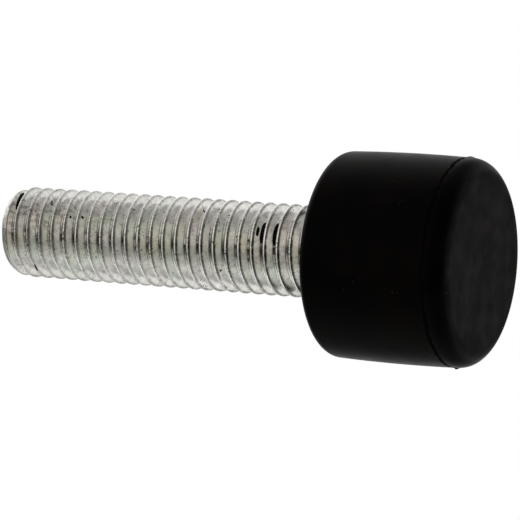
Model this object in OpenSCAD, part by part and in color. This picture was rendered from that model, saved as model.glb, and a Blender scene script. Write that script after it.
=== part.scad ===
// Rubber buffer with a threaded stud: a bump stop that screws into a frame or a machine foot.
//
// A cylinder of black moulded rubber is bonded around the flat head of a zinc-plated steel stud.
// The part stands on its striking face, which lies on Z = 0 with the origin at its centre, and
// the stud points up along +Z. Every surface is turned about the Z axis, so each piece is one
// half section that is swept round. All sizes are in millimetres.

/* [Rubber body] */
// Diameter of the rubber at the middle of its length
rubber_d = 22; // [19:0.1:40]
// Length of the rubber, from the striking face to the seat face
rubber_l = 16.3; // [10:0.1:40]
// How far the side wall swells from its ends to its middle
side_bulge = 0.2; // [0.05:0.05:0.8]
// Corner round at the striking face
striking_round = 2; // [0.5:0.05:3]
// Corner round at the seat face
seat_round = 1.2; // [0.4:0.05:3]

/* [Moulding flash] */
// Height of the flash line above the side wall
flash_h = 0.1; // [0.05:0.01:0.25]
// Radius of the flash line's rounded crest
flash_crest_r = 0.2; // [0.15:0.01:0.4]

/* [Stud] */
// Outer diameter of the thread
thread_d = 9.85; // [9.3:0.05:12]
// Length of the stud that stands proud of the seat face
stud_l = 38.5; // [15:0.1:80]
// How far the plain collar that the mould closes on stands over the thread
collar_step = 0.075; // [0.025:0.025:0.3]
// Length of the collar between the seat face and the thread
collar_l = 1; // [0.5:0.1:8]
// Length of the cone on which the collar runs into the thread
runout_l = 0.5; // [0.2:0.05:3]
// Diameter of the flat end at the tip
tip_d = 8.85; // [6:0.05:9.1]
// Length of the chamfer at the tip
tip_chamfer_l = 1.4; // [0.3:0.05:3]

/* [Anchor head inside the rubber] */
// Diameter of the stud's flat head
head_d = 15; // [12.5:0.1:17]
// Thickness of the head
head_t = 3; // [1.5:0.1:5]
// Rubber between the head and the seat face
head_cover = 2; // [1.2:0.1:4]
// Bevel around both edges of the head
head_bevel = 0.5; // [0.1:0.05:0.7]
// Fillet between the head and the collar
head_fillet = 0.6; // [0.2:0.05:0.9]

/* [Fit] */
// Gap between steel and rubber, zero where the two are bonded face to face
bond_gap = 0; // [0:0.01:0.05]

/* [Hidden] */

$fn = 128;

// Radii of the turned surfaces
rubber_r = rubber_d / 2;
thread_r = thread_d / 2;
collar_r = thread_r + collar_step;
tip_r = tip_d / 2;
head_r = head_d / 2;

// Heights above the striking face
middle_z = rubber_l / 2;
seat_z = rubber_l;
head_top_z = seat_z - head_cover;
head_low_z = head_top_z - head_t;
collar_end_z = seat_z + collar_l;
thread_start_z = collar_end_z + runout_l;
tip_z = seat_z + stud_l;
tip_chamfer_z = tip_z - tip_chamfer_l;

// The swollen side wall is an arc through the wall's middle and ends
wall_arc_r = (middle_z * middle_z + side_bulge * side_bulge) / (2 * side_bulge);
wall_arc_x = rubber_r - wall_arc_r;

// Radius of the side wall at a height
function wall_r(z) = wall_arc_x + sqrt(pow(wall_arc_r, 2) - pow(z - middle_z, 2));

// How far out the centre of a corner round of radius r lies, so that it runs smoothly into the wall
function round_x(r) = wall_arc_x + sqrt(pow(wall_arc_r - r, 2) - pow(middle_z - r, 2));

// How far the wall leans in where a corner round of radius r meets it, in degrees
function round_lean(r) = asin((middle_z - r) / (wall_arc_r - r));

// The mould parts where the striking round begins
flash_z = striking_round * (1 - sin(round_lean(striking_round)));

// How far a cutting outline passes the face that it opens
cut_past = 1;

// What is cut away outside a corner round of radius r at the seat end. The round's centre is the
// origin, and the cut starts on the line where the round meets the leaning wall.
module corner_waste(r) {
    reach = 2 * r + cut_past;
    lean = round_lean(r);
    difference() {
        polygon([
            [0, 0],
            [0, reach],
            [reach, reach],
            [reach * cos(lean), reach * sin(lean)]
        ]);
        circle(r);
    }
}

// Half section of the rubber without its core: a swollen wall with a round at each end, and the
// low rounded flash line that the mould's parting plane leaves where the striking round begins
module rubber_outline() {
    difference() {
        intersection() {
            square([rubber_r, rubber_l]);
            translate([wall_arc_x, middle_z]) circle(wall_arc_r, $fn = 720);
        }
        translate([round_x(striking_round), striking_round]) mirror([0, 1]) corner_waste(striking_round);
        translate([round_x(seat_round), seat_z - seat_round]) corner_waste(seat_round);
    }
    translate([wall_r(flash_z) + flash_h - flash_crest_r, flash_z]) circle(flash_crest_r);
}

// Half section of the head, with a bevel on both edges. It is grown by gap on every side.
module head_outline(gap) {
    polygon([
        [0, head_low_z - gap],
        [head_r - head_bevel, head_low_z - gap],
        [head_r + gap, head_low_z + head_bevel],
        [head_r + gap, head_top_z - head_bevel],
        [head_r - head_bevel, head_top_z + gap],
        [0, head_top_z + gap]
    ]);
}

// The concave fillet in the corner between the head and the collar, grown by gap
module head_fillet_outline(gap) {
    difference() {
        translate([collar_r, head_top_z]) square(head_fillet);
        translate([collar_r + head_fillet, head_top_z + head_fillet]) circle(head_fillet - gap);
    }
}

// Half section of what the rubber holds, up to the height top_z
module core_outline(gap, top_z) {
    head_outline(gap);
    head_fillet_outline(gap);
    translate([0, head_top_z]) square([collar_r + gap, top_z - head_top_z]);
}

// Half section of the stud above its head: collar, run-out, thread and chamfered tip.
// The thread is a plain cylinder at its outer diameter.
module shank_outline() {
    polygon([
        [0, head_top_z],
        [collar_r, head_top_z],
        [collar_r, collar_end_z],
        [thread_r, thread_start_z],
        [thread_r, tip_chamfer_z],
        [tip_r, tip_z],
        [0, tip_z]
    ]);
}

module rubber_body() {
    color([0.05, 0.05, 0.05])
        rotate_extrude()
            difference() {
                rubber_outline();
                core_outline(bond_gap, seat_z + cut_past);
            }
}

module threaded_stud() {
    color([0.75, 0.76, 0.74])
        rotate_extrude() {
            core_outline(0, collar_end_z);
            shank_outline();
        }
}

rubber_body();
threaded_stud();
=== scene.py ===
# %% [markdown]
# # A rubber buffer on a threaded stud
#
# The object is a bump stop: a cylinder of black moulded rubber, bonded around the flat head of a
# zinc-plated M10 stud. This lesson dresses its CAD model in two new surfaces, a rolled screw
# thread and a moulded rubber head, both worked out with numpy as arrays of points. The finishes
# are then built from noise and from values that each surface carries along.

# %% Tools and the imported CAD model
import math

import bmesh
import bpy
import numpy as np
from mathutils import Matrix, Vector


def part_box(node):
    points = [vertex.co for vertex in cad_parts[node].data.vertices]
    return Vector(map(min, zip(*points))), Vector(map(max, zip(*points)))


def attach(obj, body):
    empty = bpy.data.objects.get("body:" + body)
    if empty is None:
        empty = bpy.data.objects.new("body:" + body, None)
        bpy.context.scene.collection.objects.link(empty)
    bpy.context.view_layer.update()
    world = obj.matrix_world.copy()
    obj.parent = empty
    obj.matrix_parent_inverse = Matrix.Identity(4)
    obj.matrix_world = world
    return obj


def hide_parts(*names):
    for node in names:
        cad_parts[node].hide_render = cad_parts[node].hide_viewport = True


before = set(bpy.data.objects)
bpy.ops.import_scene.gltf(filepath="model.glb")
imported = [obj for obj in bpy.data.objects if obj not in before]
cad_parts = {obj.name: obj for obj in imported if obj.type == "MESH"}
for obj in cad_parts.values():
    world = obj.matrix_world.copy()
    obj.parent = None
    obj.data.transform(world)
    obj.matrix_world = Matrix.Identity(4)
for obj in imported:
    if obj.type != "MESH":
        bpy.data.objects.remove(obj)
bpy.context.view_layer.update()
MM = 0.001

# %% [markdown]
# Every size here starts from the CAD model, so the dressed part fits the solids. The two nodes
# give the heights and outer radii. What a box can't tell, such as a corner round, is a named
# value in millimetres.

# %% Sizes of the rubber, in millimetres
rubber_high = np.array(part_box("rubber_body")[1]) / MM

rubber_r = float(rubber_high[0])
seat_z = float(rubber_high[2])
middle_z = seat_z / 2
side_bulge = 0.2
striking_round = 2.0
seat_round = 1.2
print(f"rubber {2 * rubber_r:.1f} across and {seat_z:.1f} long")

# %% Sizes of the stud and of its head inside the rubber, in millimetres
stud_low, stud_high = (np.array(corner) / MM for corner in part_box("threaded_stud"))

head_low_z = float(stud_low[2])
head_r = float(stud_high[0])
head_t = 3.0
head_bevel = 0.5
head_fillet = 0.6
head_top_z = head_low_z + head_t

tip_z = float(stud_high[2])
collar_r = 5.0
collar_l = 1.0
thread_r = 4.925
tip_r = 4.425
tip_chamfer_l = 1.4
print(f"head {2 * head_r:.1f} across, tip of the stud at {tip_z:.1f}")

# %% [markdown]
# A mesh is a list of points and a list of faces. Both pieces are grids: rows of points that go
# once round the axis, stacked along a half section. One helper joins the rows with quads, and
# another puts the arrays into Blender. Rows that shrink to one point, and the seam where a grid
# comes round to its start, are closed by merging points that lie on each other.

# %% Helpers: from arrays of points to a closed mesh object
MERGE_DISTANCE = 0.0015 * MM


def grid_quads(rows, columns):
    """Corner numbers of the quads between neighbouring rows and columns of a grid.
    Point (row, column) has the number row * columns + column."""
    row, column = np.meshgrid(np.arange(rows - 1), np.arange(columns - 1), indexing="ij")
    first = (row * columns + column).ravel()
    return np.stack([first, first + 1, first + columns + 1, first + columns], axis=1)


def weld(mesh):
    """Merge the points that lie on each other, which closes the seam and both ends."""
    work = bmesh.new()
    work.from_mesh(mesh)
    bmesh.ops.remove_doubles(work, verts=work.verts[:], dist=MERGE_DISTANCE)
    bmesh.ops.dissolve_degenerate(work, edges=work.edges[:], dist=MERGE_DISTANCE / 10)
    open_edges = sum(not edge.is_manifold for edge in work.edges)
    print(f"{mesh.name}: {len(work.verts)} points, {len(work.faces)} faces, open edges {open_edges}")
    work.to_mesh(mesh)
    work.free()


def surface_object(name, points_mm, fields):
    """Make a piece from a grid of points (rows, columns, 3) in millimetres. The rows run up the
    outside of the section and the columns go round anticlockwise, so the quads point outwards.
    fields holds one value per point under each attribute name."""
    rows, columns, _ = points_mm.shape
    mesh = bpy.data.meshes.new(name)
    mesh.from_pydata((points_mm.reshape(-1, 3) * MM).tolist(), [], grid_quads(rows, columns).tolist())
    for field_name, values in fields.items():
        attribute = mesh.attributes.new(field_name, "FLOAT", "POINT")
        attribute.data.foreach_set("value", np.ascontiguousarray(values, dtype=np.float32).ravel())
    piece = bpy.data.objects.new(name, mesh)
    bpy.context.collection.objects.link(piece)
    weld(mesh)
    mesh.shade_smooth()
    return piece


# %% Helpers: curves of a half section, and values round the axis
def smooth_step(low, high, value):
    """0 below low, 1 above high and an S-shaped rise between, 3 t^2 - 2 t^3."""
    t = np.clip((value - low) / (high - low), 0, 1)
    return t * t * (3 - 2 * t)


def arc_points(centre_r, centre_z, radius, start_degrees, end_degrees, count):
    """Points of an arc in the half section, as radius and height, at even angles."""
    sweep = np.radians(np.linspace(start_degrees, end_degrees, count))
    return np.stack([centre_r + radius * np.cos(sweep), centre_z + radius * np.sin(sweep)], axis=1)


def angle_gap(angle, degrees):
    """Signed angle in radians from a direction in degrees, the short way round."""
    return (angle - math.radians(degrees) + np.pi) % (2 * np.pi) - np.pi


def bell(angle, degrees, half_width):
    """1 at a direction in degrees, and exp(-(gap / half width)^2) away from it on both sides."""
    return np.exp(-(np.degrees(angle_gap(angle, degrees)) / half_width) ** 2)


# %% [markdown]
# ## The stud
#
# The thread is rolled, not cut: a blank at the pitch's diameter is squeezed between dies, which
# push the roots in and the crests out by about the same volume. Its section is the ISO form,
# with flanks at 60 degrees, a narrow crest and a round root. The crests are crisp near the rubber
# and rounder towards the tip, which goes first into every nut and wears most.
#
# A thread could be modelled with a Screw modifier, but here it is a height field over the
# cylinder: the radius is a function of the angle and the height. The rows of the grid climb one
# pitch a turn, so that they follow the crest and the root exactly, and stop flat at both ends.

# %% The thread's section
pitch = 1.5
pitch_r = 4.44
root_round = 0.2165
half_flank = math.radians(30)
flank_slope = 1 / math.tan(half_flank)
root_apex_r = pitch_r - pitch / 4 * flank_slope
root_centre_r = root_apex_r + root_round / math.sin(half_flank)
root_half_width = root_round * math.cos(half_flank)


def thread_section(from_crest, softness):
    """Radius at a distance along the axis from the middle of the nearest crest, 0 to half a
    pitch: the flank's straight line, cut off softly at the crest and by an arc at the root."""
    flank = pitch_r + (pitch / 4 - from_crest) * flank_slope
    soft = softness * np.logaddexp(0, (flank - thread_r) / softness)
    ridge = flank - soft
    from_root = np.minimum(pitch / 2 - from_crest, root_half_width)
    arc = root_centre_r - np.sqrt(root_round ** 2 - from_root ** 2)
    return np.where(from_crest > pitch / 2 - root_half_width, arc, ridge)


print(f"thread {thread_r - (root_centre_r - root_round):.2f} mm deep, pitch {pitch} mm")

# %% Where the thread starts, wears and ends
collar_end_z = seat_z + collar_l
runout_l = 0.9
crest_height_at_zero_angle = 53.255
# Softness of a crisp crest, and what wear adds to it between two heights
crisp_softness, worn_softness = 0.035, 0.055
worn_from_z, worn_full_z = 45, 52


def crest_offset(angle, height):
    """Distance along the axis from the nearest crest, positive towards the tip."""
    turn = (height - crest_height_at_zero_angle) / pitch - angle / (2 * np.pi)
    return (turn - np.round(turn)) * pitch


def worn_share(height):
    """How worn the crests are, from 0 where they are crisp to 1 near the tip."""
    return smooth_step(worn_from_z, worn_full_z, height)


def stud_radius(angle, height):
    """Radius of the stud over an angle and a height. The collar passes into the thread over one
    short stretch, and the chamfer limits the thread at the tip."""
    share = smooth_step(collar_end_z, collar_end_z + runout_l, height)
    softness = crisp_softness + worn_softness * worn_share(height)
    section = thread_section(np.abs(crest_offset(angle, height)), softness)
    chamfer = tip_r + (tip_z - height) * (thread_r - tip_r) / tip_chamfer_l
    return np.minimum(collar_r + share * (section - collar_r), np.maximum(chamfer, tip_r))


# %% The threaded part of the stud's grid
ROUND_STEPS = 120
# Places of the rows between a crest and the next root, closest on the crest and near the root
half_pitch_steps = np.array(
    [0, 0.03, 0.06, 0.085, 0.11, 0.14, 0.18, 0.25, 0.34, 0.43, 0.5, 0.5625, 0.61, 0.66, 0.705]
)
pitch_steps = np.concatenate([half_pitch_steps, [pitch / 2], pitch - half_pitch_steps[:0:-1]])
turns = math.ceil((tip_z - collar_end_z) / pitch) + 2
angles = np.linspace(0, 2 * np.pi, ROUND_STEPS + 1)

first_crest = crest_height_at_zero_angle - pitch * turns
row_base = (first_crest + pitch * np.arange(turns + 2)[:, None] + pitch_steps[None, :]).ravel()
thread_height = row_base[:, None] + pitch * angles[None, :] / (2 * np.pi)
thread_height = np.clip(thread_height, collar_end_z, tip_z)
thread_radius = stud_radius(angles[None, :], thread_height)
print(f"thread: {len(thread_radius)} rows of {ROUND_STEPS} steps, {len(pitch_steps)} rows a pitch")

# %% The head and collar below the thread, and the flat end above it
FILLET_POINTS = 7
COLLAR_ROWS = 16
collar_first_row_z = head_top_z + 1.0
head_section = np.concatenate([
    [[0, head_low_z], [head_r / 2, head_low_z], [head_r - head_bevel, head_low_z]],
    [[head_r, head_low_z + head_bevel], [head_r, head_top_z - head_bevel]],
    [[head_r - head_bevel, head_top_z]],
    arc_points(collar_r + head_fillet, head_top_z + head_fillet, head_fillet, 270, 180, FILLET_POINTS),
    [[collar_r, height] for height in np.linspace(collar_first_row_z, collar_end_z, COLLAR_ROWS)],
])
head_radius = np.repeat(head_section[:, :1], ROUND_STEPS + 1, axis=1)
head_height = np.repeat(head_section[:, 1:], ROUND_STEPS + 1, axis=1)

# Rings across the flat end, as shares of its radius
cap_share = np.array([0.97, 0.9, 0.7, 0.4, 0])[:, None]
cap_radius = thread_radius[-1:] * cap_share
cap_height = np.full_like(cap_radius, tip_z)

stud_r = np.concatenate([head_radius, thread_radius, cap_radius])
stud_z = np.concatenate([head_height, thread_height, cap_height])
stud_points = np.stack([stud_r * np.cos(angles), stud_r * np.sin(angles), stud_z], axis=2)
print("grid of the stud:", stud_points.shape)

# %% [markdown]
# The finish of a thread follows its form. The crests are rubbed bright and carry a painted highlight. A
# fine dark fold runs beside each crest, where the metal that the dies pushed up from both flanks met, and
# painted shade darkens it on one side and towards the rubber. On that side the roots hold painted shade and
# grime, and an edge behind each crest holds painted shade. Greasy fingers have touched the tip.
#
# A mask could be painted by hand, but a thread is a helix, and dirt and painted shade that don't follow it
# show at once. So the surface carries its distance from each of these lines as a value at its points, and
# the material turns distance into looks. Along the thread these distances have no sign and no jump, so
# nothing false shows between two rows of points.

# %% Lines that run round the thread
# Places of the lines, in millimetres along the axis from the crest, positive towards the tip
# The fold line is a real fold darkened with painted shade, the edge line is painted shade, and the grime
# line is painted shade with some grime
fold_and_shade_line = -0.165
shade_edge_line = 0.17
grime_and_shade_line = 0.73
# Added to the distance from a worn crest, so that its rubbed wear and painted highlight are less bright
worn_crest_shift = 0.08
# How far below the tip the thread's values stop, so that the flat end has none
END_MARGIN = 0.001

threaded = (stud_z > collar_end_z) & (stud_z < tip_z - END_MARGIN)
stud_offset = crest_offset(angles[None, :], stud_z)


def gap_from_line(from_crest):
    """Distance along the axis from a line that runs round the thread at this distance from the
    crest, the short way over a pitch. Off the thread it is a whole pitch."""
    gap = np.abs((stud_offset - from_crest + pitch / 2) % pitch - pitch / 2)
    return np.where(threaded, gap, pitch)


stud_fields = {
    "crest_gap": gap_from_line(0) + worn_crest_shift * worn_share(stud_z),
    "fold_and_shade_gap": gap_from_line(fold_and_shade_line),
    "shade_edge_gap": gap_from_line(shade_edge_line),
    "grime_and_shade_gap": gap_from_line(grime_and_shade_line),
}
print(f"{threaded.mean():.0%} of the stud's points lie on its thread")

# %% Sides and ends of the stud that were treated differently
# The side that carries painted shade in its roots, at the fold and behind each crest, and more stains and
# nicks, as a direction and a half width in degrees
shade_and_dirt_degrees, shade_and_dirt_half_width = 265, 18
# The fold's painted shade is strongest towards the rubber and fades out between these heights
near_rubber_fades_from_z, near_rubber_gone_z = 24, 44
# Greasy fingers touched one side, more and more between these heights
grease_degrees, grease_half_width = 305, 32
grease_from_z, grease_full_z = 34, 50

shade_and_dirt_side = bell(angles, shade_and_dirt_degrees, shade_and_dirt_half_width)[None, :]
greasy_side = bell(angles, grease_degrees, grease_half_width)[None, :]
stud_fields["shade_and_dirt_side"] = np.broadcast_to(shade_and_dirt_side, stud_z.shape)
stud_fields["near_rubber"] = 1 - smooth_step(near_rubber_fades_from_z, near_rubber_gone_z, stud_z)
stud_fields["grease"] = smooth_step(grease_from_z, grease_full_z, stud_z) * greasy_side
print(f"dirt along {shade_and_dirt_degrees} degrees, grease along {grease_degrees} degrees")

# %% [markdown]
# A little black rubber ran out of the mould into the grooves and was left there: one smear on the
# tip's chamfer, a few strips next to the rubber and many small specks. Each mark is a rounded
# strip that follows its groove. Noise alone could scatter such marks, but it couldn't lay them
# along the helix.

# %% Black residue in the grooves, and the finished stud
# Each mark: angle in degrees, height in mm, how far the height departs from the groove over the
# mark's length, half length round the stud and half width along it in mm
residue_marks = (
    (325, 54.00, 0.26, 1.85, 0.14),
    (295, 23.73, 0, 1.60, 0.20),
    (294, 22.22, 0, 1.70, 0.21),
    (293, 24.10, 0, 0.64, 0.11),
    (270, 22.14, 0, 0.20, 0.10),
    (280, 25.19, 0, 0.20, 0.10),
    (250.5, 25.11, 0, 0.20, 0.07),
    (284.5, 26.63, 0, 0.18, 0.09),
    (293.5, 27.91, 0, 0.18, 0.09),
    (323.5, 28.40, 0, 0.20, 0.11),
    (233.5, 28.35, 0, 0.20, 0.11),
    (286, 29.79, 0, 0.18, 0.08),
    (339, 30.07, 0, 0.26, 0.07),
    (328, 31.49, 0.22, 0.26, 0.12),
    (198.5, 31.29, 0, 0.18, 0.08),
    (296, 45.14, 0, 0.22, 0.09),
    (295, 46.61, 0, 0.20, 0.09),
    (249, 48.08, 0, 0.18, 0.08),
    (319, 49.66, 0.12, 0.40, 0.06),
    (240.5, 49.82, 0, 0.18, 0.10),
    (217, 51.03, -0.06, 0.60, 0.06),
)
MARK_FLOOR = -3


def mark_depth(angle, height, mark):
    """How deep a point lies inside a mark that follows the groove, 1 in its middle, 0 on its edge
    and negative outside: 1 - (distance round / half length)^4 - (distance up / half width)^2."""
    degrees, middle, departure, half_length, half_width = mark
    gap = angle_gap(angle, degrees)
    around = gap * thread_r / half_length
    upwards = (height - middle - pitch * gap / (2 * np.pi) - departure * around / 2) / half_width
    return np.maximum(1 - around ** 4 - upwards ** 2, MARK_FLOOR)


depths = [mark_depth(angles[None, :], stud_z, mark) for mark in residue_marks]
stud_fields["residue"] = np.max(depths, axis=0)
print(f"{len(residue_marks)} marks of residue on {(stud_fields['residue'] > 0).mean():.2%} of the points")
stud = surface_object("zinc_stud", stud_points, stud_fields)

# %% [markdown]
# ## The rubber
#
# The rubber is cast round the stud's head in a two-part mould. It is soft, so its rounds are
# generous, and a thin line of flash is left where the two halves of the mould meet. The line is
# uneven, and stands out in a few nubs where it was torn off.
#
# A cylinder with a Bevel modifier would come close, but its wall would be straight. Here the half
# section is worked out, a swollen arc between two rounds, and carried round the axis. The flash
# is then a small height that is added to the radius near the parting line.

# %% Where the rubber's rounds meet its swollen wall
wall_arc_r = (middle_z ** 2 + side_bulge ** 2) / (2 * side_bulge)
wall_arc_x = rubber_r - wall_arc_r


def round_place(radius):
    """Where a corner round of this radius runs smoothly into the swollen wall: how far out its
    centre lies, and the lean of the wall there in degrees."""
    reach = wall_arc_r - radius
    centre = wall_arc_x + math.sqrt(reach ** 2 - (middle_z - radius) ** 2)
    return centre, math.degrees(math.asin((middle_z - radius) / reach))


striking_round_x, striking_lean = round_place(striking_round)
seat_round_x, seat_lean = round_place(seat_round)
# The flash lies a little above the height where the striking round runs into the wall
flash_above_round = 0.35
flash_z = striking_round * (1 - math.sin(math.radians(striking_lean))) + flash_above_round
print(f"flash line at {flash_z:.2f} mm, wall leans {striking_lean:.1f} degrees at the striking round")

# %% The rubber's half section, from the striking face round the outside and back along the cavity
FACE_ROWS, STRIKING_ROWS, WALL_ROWS, SEAT_ROUND_ROWS, SEAT_ROWS = 24, 36, 30, 20, 12
# The face's last row as a share of its flat part, and rows close together just above the flash
FACE_SHARE = 0.98
beside_flash = np.array([0.04, 0.08, 0.12, 0.16, 0.2, 0.26, 0.34, 0.45])
above_flash = 0.7
wall_z = np.concatenate([
    flash_z + beside_flash,
    np.linspace(flash_z + above_flash, seat_z - seat_round, WALL_ROWS),
])
wall_r = wall_arc_x + np.sqrt(wall_arc_r ** 2 - (wall_z - middle_z) ** 2)
striking_arc = (striking_round_x, striking_round, striking_round, 270, 360 - striking_lean)
seat_arc = (seat_round_x, seat_z - seat_round, seat_round, seat_lean, 90)
fillet_arc = (collar_r + head_fillet, head_top_z + head_fillet, head_fillet, 180, 270)
rubber_section = np.concatenate([
    [[share * striking_round_x, 0] for share in np.linspace(0, FACE_SHARE, FACE_ROWS)],
    arc_points(*striking_arc, STRIKING_ROWS),
    np.stack([wall_r, wall_z], axis=1),
    arc_points(*seat_arc, SEAT_ROUND_ROWS)[1:],
    [[radius, seat_z] for radius in np.linspace(seat_round_x, collar_r, SEAT_ROWS)[1:]],
    [[collar_r, head_top_z + head_fillet]],
    arc_points(*fillet_arc, FILLET_POINTS)[1:],
    [[head_r - head_bevel, head_top_z], [head_r, head_top_z - head_bevel]],
    [[head_r, head_low_z + head_bevel], [head_r - head_bevel, head_low_z], [0, head_low_z]],
])
print(len(rubber_section), "points in the rubber's half section")

# %% The uneven flash line
flash_h = 0.07
flash_half_width = 0.1
# The flash's mean height as a share of flash_h, and its waves: how many go round the rubber, how
# high they are as a share of flash_h, and where they start in radians
FLASH_MEAN = 0.62
FLASH_WAVES = ((3, 0.2, 1), (11, 0.12, 0), (29, 0.06, 2))
# Nubs on the flash: angle in degrees, height in mm and half length round the rubber in degrees
FLASH_NUBS = (
    (179, 0.19, 1.8),
    (168, 0.05, 1.5),
    (2, 0.09, 5.0),
    (334, 0.08, 1.5),
    (344, 0.06, 3.0),
)


def flash_height(angle):
    """Height of the flash line round the rubber: uneven by waves that come round to their start,
    and raised at the nubs."""
    waves = sum((share * np.sin(count * angle + start) for count, share, start in FLASH_WAVES), FLASH_MEAN)
    nubs = [height * bell(angle, degrees, half_length) for degrees, height, half_length in FLASH_NUBS]
    return flash_h * waves + np.sum(nubs, axis=0)


# %% The rubber's surface with its flash line
RUBBER_STEPS = 256
# Points this near the largest radius are on the outer wall, not in the cavity round the head
WALL_ZONE = 0.5
FAR_FROM_FLASH = 9
rubber_angles = np.linspace(0, 2 * np.pi, RUBBER_STEPS + 1)[None, :]
section_r = np.repeat(rubber_section[:, :1], RUBBER_STEPS + 1, axis=1)
section_z = np.repeat(rubber_section[:, 1:], RUBBER_STEPS + 1, axis=1)
near_flash = (section_r > rubber_r - WALL_ZONE) | (section_z < striking_round / 2)
from_flash = np.where(near_flash, section_z - flash_z, FAR_FROM_FLASH)
bead = flash_height(rubber_angles) * np.exp(-(from_flash / flash_half_width) ** 2)
beaded_r = section_r + bead
rubber_points = np.stack(
    [beaded_r * np.cos(rubber_angles), beaded_r * np.sin(rubber_angles), section_z], axis=2
)
print(f"flash stands up to {bead.max():.2f} mm proud")
rubber = surface_object("moulded_rubber", rubber_points, {"from_flash": from_flash})

# %% Both pieces take the place of the plain solids
for piece, solid, finish_slot in (
    (stud, "threaded_stud", "zinc_plated_steel"),
    (rubber, "rubber_body", "rubber"),
):
    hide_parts(solid)
    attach(piece, "root")
    print(f"{piece.name} stands for {solid}")

# %% [markdown]
# ## Finishes
#
# Each finish is a Principled surface whose colour and roughness come from noise, which is tied to
# the object's own coordinates in millimetres, and from the values that the surface carries.
# Patches are needed again and again, as stains, wear, dust or pits, so they are made once as a
# node group that gives a mask.

# %% Helpers for shader nodes
def add_node(tree, kind, inputs, **settings):
    """Add a node with plain settings, and fill its inputs with values or with other sockets."""
    made = tree.nodes.new(kind)
    for setting, value in settings.items():
        setattr(made, setting, value)
    for place, value in inputs.items():
        if isinstance(value, bpy.types.NodeSocket):
            tree.links.new(value, made.inputs[place])
        else:
            made.inputs[place].default_value = value
    return made


def maths(tree, operation, first, second=0.0):
    """One sum of two numbers or sockets."""
    return add_node(tree, "ShaderNodeMath", {0: first, 1: second}, operation=operation).outputs[0]


def product(tree, first, *factors):
    """Masks and numbers multiplied together."""
    for factor in factors:
        first = maths(tree, "MULTIPLY", first, factor)
    return first


def scaled(tree, value, factor, base):
    """A value times a factor, plus a base."""
    return maths(tree, "ADD", maths(tree, "MULTIPLY", value, factor), base)


def wander(tree, mask, width):
    """A distance that wanders with a mask, by half of this width to either side."""
    return maths(tree, "MULTIPLY", maths(tree, "SUBTRACT", mask, 0.5), width)


def rise(tree, value, low, high):
    """0 below low, 1 above high and smooth between. Low may lie above high, which turns it round."""
    inputs = {"Value": value, "From Min": low, "From Max": high}
    return add_node(tree, "ShaderNodeMapRange", inputs, interpolation_type="SMOOTHSTEP").outputs["Result"]


def blend(tree, share, below, above):
    """Mix two colours by a share."""
    colours = {0: share, 6: below, 7: above}
    return add_node(tree, "ShaderNodeMix", colours, data_type="RGBA").outputs[2]


def carried(tree, name):
    """A value that the surface carries at its points."""
    return add_node(tree, "ShaderNodeAttribute", {}, attribute_name=name).outputs["Fac"]


def new_material(name):
    """A material with one Principled surface, its tree and that surface."""
    material = bpy.data.materials.new(name)
    material.use_nodes = True
    return material, material.node_tree, material.node_tree.nodes["Principled BSDF"]


# %% The patch mask as a node group
PATCH_INPUTS = {"Size mm": 1.0, "Detail": 3.0, "None at": 0.4, "Full at": 0.6, "Place": 0.0}
patches = bpy.data.node_groups.new("patches", "ShaderNodeTree")
for socket_name, start in PATCH_INPUTS.items():
    socket = patches.interface.new_socket(socket_name, in_out="INPUT", socket_type="NodeSocketFloat")
    socket.default_value = start
patches.interface.new_socket("Mask", in_out="OUTPUT", socket_type="NodeSocketFloat")
group_in = patches.nodes.new("NodeGroupInput").outputs
group_out = patches.nodes.new("NodeGroupOutput")
where = add_node(patches, "ShaderNodeTexCoord", {}).outputs["Object"]
in_mm = add_node(patches, "ShaderNodeVectorMath", {0: where, "Scale": 1 / MM}, operation="SCALE").outputs[0]
per_mm = maths(patches, "DIVIDE", 1.0, group_in["Size mm"])
cloud = add_node(
    patches, "ShaderNodeTexNoise",
    {"Vector": in_mm, "W": group_in["Place"], "Scale": per_mm, "Detail": group_in["Detail"]},
    noise_dimensions="4D",
).outputs[0]
mask = rise(patches, cloud, group_in["None at"], group_in["Full at"])
patches.links.new(mask, group_out.inputs["Mask"])
print("the patch mask takes:", ", ".join(PATCH_INPUTS))


def patch_mask(tree, size_mm, none_at, full_at, place, detail=3.0):
    """A mask of patches of about this size. It is 0 where the noise is below none_at and 1 where
    it is above full_at, and place picks another part of the noise."""
    group = add_node(tree, "ShaderNodeGroup", {}, node_tree=patches)
    values = {"Size mm": size_mm, "None at": none_at, "Full at": full_at, "Place": place, "Detail": detail}
    for socket_name, value in values.items():
        group.inputs[socket_name].default_value = value
    return group.outputs["Mask"]


# %% [markdown]
# ### Zinc plate
#
# Zinc is plated on from a bath and then dipped in a chromate that keeps it bright. The chromate is thinner
# than light's wavelength and uneven, so it gives faint warm and greenish patches on the light grey. The
# metal under it is mottled and a little rough, and its crests are rubbed bright and carry a painted
# highlight.

# %% Zinc plate: the clean metal
zinc, tree, surface = new_material("zinc_plate")
ZINC_LIGHT = (0.86, 0.845, 0.83, 1)
ZINC_DULL = (0.68, 0.665, 0.645, 1)
CHROMATE_WARM = (0.78, 0.76, 0.66, 1)
CHROMATE_GREEN = (0.71, 0.76, 0.70, 1)
GREEN_SHARE = 0.6
# Share of the warm stain: anywhere, and what the side with the painted shade adds
WARM_ANYWHERE, WARM_SIDE = 0.25, 0.5

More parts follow.
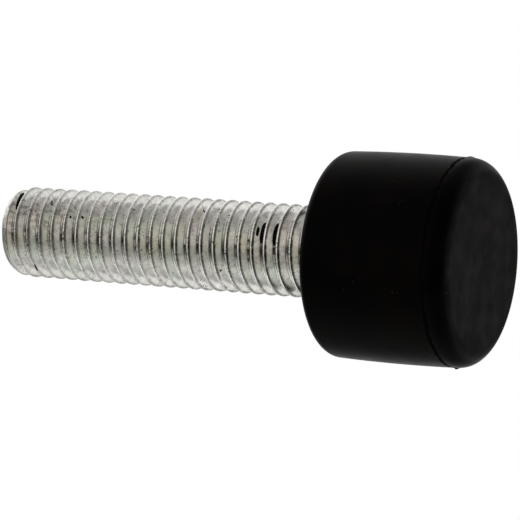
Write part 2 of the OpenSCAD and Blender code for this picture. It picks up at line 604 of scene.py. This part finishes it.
on_shade_and_dirt_side = carried(tree, "shade_and_dirt_side")
mottled = patch_mask(tree, size_mm=0.9, none_at=0.34, full_at=0.66, place=1, detail=4)
metal = blend(tree, mottled, ZINC_LIGHT, ZINC_DULL)
warm_places = patch_mask(tree, size_mm=2.2, none_at=0.5, full_at=0.64, place=5)
warm = product(tree, warm_places, scaled(tree, on_shade_and_dirt_side, WARM_SIDE, WARM_ANYWHERE))
metal = blend(tree, warm, metal, CHROMATE_WARM)
green_places = patch_mask(tree, size_mm=3.2, none_at=0.46, full_at=0.62, place=9)
metal = blend(tree, product(tree, green_places, GREEN_SHARE), metal, CHROMATE_GREEN)

# %% Zinc plate: rubbed crests with a painted highlight
# The rubbed colour is partly the crest's rubbed metal and partly a painted highlight along it
RUBBED_HIGHLIGHT = (0.96, 0.95, 0.94, 1)
RUBBED_HIGHLIGHT_SHARE = 0.8
# Distances from the crest in mm at which the rubbed wear and painted highlight have faded out and are full
RUBBED_HIGHLIGHT_BAND = (0.1, 0.05)

from_crest = carried(tree, "crest_gap")
rubbed_highlight_places = patch_mask(tree, size_mm=0.7, none_at=0.36, full_at=0.56, place=12, detail=4)
crest = product(tree, rise(tree, from_crest, *RUBBED_HIGHLIGHT_BAND), rubbed_highlight_places)
metal = blend(tree, product(tree, crest, RUBBED_HIGHLIGHT_SHARE), metal, RUBBED_HIGHLIGHT)

# %% [markdown]
# Dirt and painted shade come in thin broken lines, and dirt in scattered small marks. Each line is a
# distance that the thread carries, turned into a soft band and broken up by a patch mask. How strong it is
# depends on the side and the height: the roots' painted shade and grime and the painted shade on the edge
# behind the crest lie on one side, and the fold beside the crest is painted darker on that side and towards
# the rubber.

# %% Zinc plate: dark lines of painted shade and grime that follow the thread
# Each band: distances from its line in mm at which it has faded out and is full
GRIME_AND_SHADE_BAND = (0.22, 0.08)
FOLD_BAND = (0.095, 0.025)
SHADE_EDGE_BAND = (0.1, 0.04)
# Share of the fold: anywhere, and the painted shade that the shaded side and the thread near the rubber add
FOLD_ANYWHERE, FOLD_SIDE, FOLD_NEAR_RUBBER = 0.26, 0.45, 0.32

# Painted shade in the roots on the shaded side, with some grime
near_root = rise(tree, carried(tree, "grime_and_shade_gap"), *GRIME_AND_SHADE_BAND)
root_places = patch_mask(tree, size_mm=0.8, none_at=0.32, full_at=0.52, place=27)
root_grime_and_shade = product(tree, near_root, on_shade_and_dirt_side, root_places)

# The fold is a real fold, painted darker as shade on the shaded side and towards the rubber
fold_and_shade_strength = scaled(tree, on_shade_and_dirt_side, FOLD_SIDE, FOLD_ANYWHERE)
fold_and_shade_strength = scaled(tree, carried(tree, "near_rubber"), FOLD_NEAR_RUBBER, fold_and_shade_strength)
fold_places = patch_mask(tree, size_mm=0.7, none_at=0.28, full_at=0.54, place=21, detail=4)
fold_and_shade = product(tree, rise(tree, carried(tree, "fold_and_shade_gap"), *FOLD_BAND), fold_and_shade_strength, fold_places)

# Painted shade on the edge behind each crest, on the shaded side
shade_edge_places = patch_mask(tree, size_mm=0.6, none_at=0.3, full_at=0.54, place=45, detail=4)
edge = product(tree, rise(tree, carried(tree, "shade_edge_gap"), *SHADE_EDGE_BAND), on_shade_and_dirt_side, shade_edge_places)
dark_lines = maths(tree, "MAXIMUM", fold_and_shade, edge)
dirt_and_shade = maths(tree, "MAXIMUM", root_grime_and_shade, dark_lines)

# %% Zinc plate: smudges, greasy smears, pits and nicks
SMUDGE_SHARE = 0.34
SMEAR_SHARE = 0.5
PIT_SHARE = 0.8
# Distances from the crest in mm at which nicks have stopped and are as many as they get
NICK_BAND = (0.24, 0.14)
# Share of the nicks: anywhere, and what the side with the painted shade adds
NICK_ANYWHERE, NICK_SIDE = 0.4, 0.55

smudged = patch_mask(tree, size_mm=0.5, none_at=0.58, full_at=0.68, place=35, detail=5)
smudges = product(tree, smudged, SMUDGE_SHARE)
greasy = patch_mask(tree, size_mm=0.5, none_at=0.53, full_at=0.6, place=37, detail=4)
smears = product(tree, greasy, carried(tree, "grease"), SMEAR_SHARE)
pitted = patch_mask(tree, size_mm=0.2, none_at=0.62, full_at=0.67, place=31, detail=1)
pit_places = patch_mask(tree, size_mm=1.8, none_at=0.46, full_at=0.58, place=33)
pits = product(tree, pitted, pit_places, PIT_SHARE)
nicked = patch_mask(tree, size_mm=0.2, none_at=0.56, full_at=0.63, place=61, detail=2)
nick_strength = scaled(tree, on_shade_and_dirt_side, NICK_SIDE, NICK_ANYWHERE)
nicks = product(tree, rise(tree, from_crest, *NICK_BAND), nick_strength, nicked)

# %% Zinc plate: the dirt and painted shade laid over the metal, one kind after another
# The grime colour darkens the smudges as dirt and the roots as painted shade with grime, and the fold
# colour darkens the fold and the edge behind each crest with painted shade
GRIME_AND_SHADE = (0.05, 0.046, 0.036, 1)
GREASE = (0.085, 0.068, 0.05, 1)
FOLD_AND_SHADE = (0.03, 0.028, 0.022, 1)
PIT = (0.06, 0.055, 0.045, 1)
dirt_and_shade_layers = (
    (smudges, GRIME_AND_SHADE),
    (smears, GREASE),
    (root_grime_and_shade, GRIME_AND_SHADE),
    (dark_lines, FOLD_AND_SHADE),
    (pits, PIT),
    (nicks, PIT),
)
for share, colour in dirt_and_shade_layers:
    metal = blend(tree, share, metal, colour)
print(f"{len(dirt_and_shade_layers)} layers of dirt over the zinc")

# %% Zinc plate: black rubber residue with a ragged edge
RESIDUE = (0.002, 0.002, 0.002, 1)
# Depths inside a mark at which the black starts and is full, and how far its edge wanders
RESIDUE_EDGE = (-0.06, 0.1)
RAGGED_WIDTH = 0.16

frayed = patch_mask(tree, size_mm=0.12, none_at=0.3, full_at=0.7, place=41)
ragged = wander(tree, frayed, RAGGED_WIDTH)
black = rise(tree, maths(tree, "ADD", carried(tree, "residue"), ragged), *RESIDUE_EDGE)
metal = blend(tree, black, metal, RESIDUE)

# %% Zinc plate: roughness, relief and the finished surface
ZINC_ROUGHNESS = 0.21
# What the grain, the rubbed crests, and the dirt and painted shade add to the roughness
GRAIN_ROUGHNESS, CREST_ROUGHNESS, DIRT_AND_SHADE_ROUGHNESS = 0.08, -0.06, 0.25
ZINC_RELIEF = {"Strength": 0.35, "Distance": 0.01 * MM}
# Only the residue isn't metal, so this level is its sheen
RESIDUE_SHEEN = 0.05

grain = patch_mask(tree, size_mm=0.35, none_at=0.3, full_at=0.7, place=51, detail=5)
roughness = scaled(tree, grain, GRAIN_ROUGHNESS, ZINC_ROUGHNESS)
roughness = scaled(tree, crest, CREST_ROUGHNESS, roughness)
roughness = scaled(tree, dirt_and_shade, DIRT_AND_SHADE_ROUGHNESS, roughness)
bumps = add_node(tree, "ShaderNodeBump", {**ZINC_RELIEF, "Height": grain})
tree.links.new(metal, surface.inputs["Base Color"])
tree.links.new(maths(tree, "SUBTRACT", 1.0, black), surface.inputs["Metallic"])
tree.links.new(roughness, surface.inputs["Roughness"])
tree.links.new(bumps.outputs["Normal"], surface.inputs["Normal"])
surface.inputs["Specular IOR Level"].default_value = RESIDUE_SHEEN
stud.data.materials.append(zinc)
print(f"{zinc.name}: {len(tree.nodes)} nodes")

# %% [markdown]
# ### Black rubber
#
# Carbon black makes the rubber as dark as a solid can be, so nearly all that is seen of it is a faint
# sheen, weak head on and strong along the edges. The mould left the wall fairly smooth. The striking face
# is rougher and has a faint grey bloom, which is partly a painted sheen that lifts the face, and the torn
# flash line is rougher still. A few dust specks lie on it.
#
# The sheen could be dimmed from place to place by its own level, but a model that is exported keeps one
# level for a whole surface. Here the level stays the same, and roughness dims the sheen by spreading it
# out, as it does on real rubber.

# %% Black rubber: colour, bloom with a painted sheen, and dust
black_rubber, tree, surface = new_material("black_rubber")
RUBBER_BLACK = (0.0008, 0.0008, 0.0009, 1)
RUBBER_BROWN = (0.0024, 0.0018, 0.0017, 1)
# The bloom colour is partly the rubber's grey bloom and partly a painted sheen on the striking face
BLOOM_AND_SHEEN = (0.012, 0.0100, 0.0103, 1)
BLOOM_AND_SHEEN_SHARE = 0.8
DUST = (0.05, 0.05, 0.045, 1)
DUST_SHARE = 0.7
# Height in mm over which the striking face's finish gives way to the wall's
face_finish_h = 0.3

brownish = patch_mask(tree, size_mm=5.0, none_at=0.42, full_at=0.62, place=3)
body = blend(tree, brownish, RUBBER_BLACK, RUBBER_BROWN)
above_parting = carried(tree, "from_flash")
on_face = rise(tree, above_parting, face_finish_h - flash_z, -flash_z)
bloom_and_sheen_places = patch_mask(tree, size_mm=2.4, none_at=0.36, full_at=0.68, place=43, detail=4)
body = blend(tree, product(tree, bloom_and_sheen_places, on_face, BLOOM_AND_SHEEN_SHARE), body, BLOOM_AND_SHEEN)
dusted = patch_mask(tree, size_mm=0.24, none_at=0.79, full_at=0.83, place=13, detail=0)
few_places = patch_mask(tree, size_mm=5.0, none_at=0.64, full_at=0.66, place=15, detail=0)
body = blend(tree, product(tree, dusted, few_places, DUST_SHARE), body, DUST)

# %% Black rubber: sheen, relief and the finished surface
RUBBER_SHEEN = 0.02
SHEEN_TINT = (1.0, 0.9, 0.87, 1)
WALL_ROUGHNESS = 0.32
# What cloudy patches, the striking face and the torn flash line add to the roughness
CLOUDY_ROUGHNESS, FACE_ROUGHNESS, FLASH_ROUGHNESS = 0.06, 0.27, 0.65
# Distances from the flash line in mm at which its torn skin has ended and is complete, and how
# far they wander
FLASH_BAND = (0.23, 0.12)
UNEVEN_WIDTH = 0.16
RUBBER_RELIEF = {"Strength": 0.3, "Distance": 0.01 * MM}

torn = patch_mask(tree, size_mm=0.8, none_at=0.3, full_at=0.7, place=17, detail=4)
from_torn_line = maths(tree, "ADD", above_parting, wander(tree, torn, UNEVEN_WIDTH))
on_flash = rise(tree, maths(tree, "ABSOLUTE", from_torn_line), *FLASH_BAND)
cloudy = patch_mask(tree, size_mm=1.6, none_at=0.3, full_at=0.7, place=23, detail=5)
roughness = scaled(tree, cloudy, CLOUDY_ROUGHNESS, WALL_ROUGHNESS)
roughness = scaled(tree, on_face, FACE_ROUGHNESS, roughness)
roughness = scaled(tree, on_flash, FLASH_ROUGHNESS, roughness)
pores = patch_mask(tree, size_mm=0.18, none_at=0.3, full_at=0.7, place=33)
bumps = add_node(tree, "ShaderNodeBump", {**RUBBER_RELIEF, "Height": pores})
tree.links.new(body, surface.inputs["Base Color"])
tree.links.new(roughness, surface.inputs["Roughness"])
tree.links.new(bumps.outputs["Normal"], surface.inputs["Normal"])
surface.inputs["Specular IOR Level"].default_value = RUBBER_SHEEN
surface.inputs["Specular Tint"].default_value = SHEEN_TINT
rubber.data.materials.append(black_rubber)
print(f"{black_rubber.name}: {len(tree.nodes)} nodes")

# %% [markdown]
# ## Floor, room and camera
#
# The part stands on its striking face on white paper. A camera that looks up from below the paper
# still has to see the part, so the paper is clear from its underside. The paper glows a little,
# which lifts it to white. Only the camera sees it: it adds no light to the part and shows in none
# of its reflections.

# %% Floor of white paper
FLOOR_HALF = 600
FLOOR_DROP = 0.1
PAPER_WHITE = (0.9, 0.9, 0.9, 1)
PAPER_ROUGHNESS = 0.9
PAPER_GLOW = 0.25
corners = [(-1, -1), (1, -1), (1, 1), (-1, 1)]
floor_mesh = bpy.data.meshes.new("floor")
floor_points = [(x * FLOOR_HALF * MM, y * FLOOR_HALF * MM, -FLOOR_DROP * MM) for x, y in corners]
floor_mesh.from_pydata(floor_points, [], [(0, 1, 2, 3)])
floor = bpy.data.objects.new("floor", floor_mesh)
bpy.context.collection.objects.link(floor)

paper, tree, surface = new_material("white_paper")
surface.inputs["Base Color"].default_value = PAPER_WHITE
surface.inputs["Roughness"].default_value = PAPER_ROUGHNESS
surface.inputs["Emission Color"].default_value = (1, 1, 1, 1)
surface.inputs["Emission Strength"].default_value = PAPER_GLOW
clear = tree.nodes.new("ShaderNodeBsdfTransparent")
underside = add_node(tree, "ShaderNodeNewGeometry", {}).outputs["Backfacing"]
two_sided = add_node(
    tree, "ShaderNodeMixShader", {0: underside, 1: surface.outputs[0], 2: clear.outputs[0]}
)
tree.links.new(two_sided.outputs[0], tree.nodes["Material Output"].inputs["Surface"])
floor_mesh.materials.append(paper)
for ray in ("shadow", "diffuse", "glossy", "transmission"):
    setattr(floor, f"visible_{ray}", False)
print(f"paper {2 * FLOOR_HALF} mm square, {FLOOR_DROP} mm below the part")

# %% [markdown]
# Bright metal is only as lively as what it mirrors. Lamps would show in it as hard shapes, and a
# room that is white all round leaves it flat. So the room is made only from directions: a dim
# even base, and soft lights that fade with the angle from their middle. The camera sees plain
# white behind the part, and the metal mirrors that same white where it faces the backdrop.

# %% Room light by direction
# Each light: the direction of its middle and its colour. It has faded out this many degrees away.
LIGHT_REACH = 52
ROOM_BASE = (0.155, 0.151, 0.140)
ROOM_LIGHTS = (
    ((0.13, 0.77, -0.62), (0.96, 0.96, 0.95)),
    ((-0.43, 0.46, -0.77), (0.53, 0.53, 0.52)),
    ((0.37, -0.80, 0.48), (0.64, 0.62, 0.57)),
    ((-0.99, 0.04, 0.12), (0.50, 0.51, 0.51)),
    ((0.99, 0.13, -0.07), (0.43, 0.42, 0.42)),
    ((-0.80, -0.46, 0.38), (0.38, 0.40, 0.36)),
    ((0.34, 0.45, 0.82), (1.20, 1.20, 1.18)),
)
world = bpy.data.worlds.new("white_room")
bpy.context.scene.world = world
world.use_nodes = True
tree = world.node_tree
direction = add_node(tree, "ShaderNodeTexCoord", {}).outputs["Generated"]


def facing_share(toward):
    """How much a direction of the room belongs to a light: 1 in its middle, 0 past its reach."""
    unit = Vector(toward).normalized()
    cosine = add_node(tree, "ShaderNodeVectorMath", {0: direction, 1: unit}, operation="DOT_PRODUCT")
    return rise(tree, cosine.outputs["Value"], math.cos(math.radians(LIGHT_REACH)), 1.0)


light = add_node(tree, "ShaderNodeCombineXYZ", dict(enumerate(ROOM_BASE))).outputs[0]
for toward, colour in ROOM_LIGHTS:
    lit = {0: colour, "Scale": facing_share(toward)}
    part = add_node(tree, "ShaderNodeVectorMath", lit, operation="SCALE").outputs[0]
    light = add_node(tree, "ShaderNodeVectorMath", {0: light, 1: part}, operation="ADD").outputs[0]
print(f"a room of {len(ROOM_LIGHTS)} soft lights")

# %% White backdrop
WHITE = (1, 1, 1, 1)
# The direction in which the metal mirrors the white that the camera sees
BACKDROP = (0.0, 0.90, 0.44)
rays = add_node(tree, "ShaderNodeLightPath", {}).outputs
seen = maths(tree, "MAXIMUM", rays["Is Camera Ray"], rays["Is Transmission Ray"])
mirrored = maths(tree, "MULTIPLY", rays["Is Glossy Ray"], facing_share(BACKDROP))
white_share = maths(tree, "MAXIMUM", seen, mirrored)
background = tree.nodes["Background"]
tree.links.new(blend(tree, white_share, light, WHITE), background.inputs["Color"])
background.inputs["Strength"].default_value = 1

# %% [markdown]
# The camera stands far off with a long lens, so the part shows with little perspective. It looks
# up at the striking face a little, and is rolled until the upright part lies on its side.

# %% Camera
# Place and aim in mm, roll about the line of sight in degrees
camera_place = (0.78, -345.94, -142.35)
camera_aim = (-1.26, 0.0, 25.58)
camera_roll = -85.81
camera_data = bpy.data.cameras.new("camera")
camera_data.sensor_width = 36
camera_data.lens = 250.98
camera_data.clip_start = 0.01
camera = bpy.data.objects.new("camera", camera_data)
bpy.context.collection.objects.link(camera)
place, aim = Vector(camera_place) * MM, Vector(camera_aim) * MM
unrolled = (aim - place).to_track_quat("-Z", "Y").to_matrix()
turned = unrolled @ Matrix.Rotation(math.radians(camera_roll), 3, "Z")
camera.matrix_world = Matrix.Translation(place) @ turned.to_4x4()
bpy.context.scene.camera = camera
bpy.context.scene.view_settings.view_transform = "Standard"
print(f"camera {(aim - place).length / MM:.0f} mm from what it aims at")
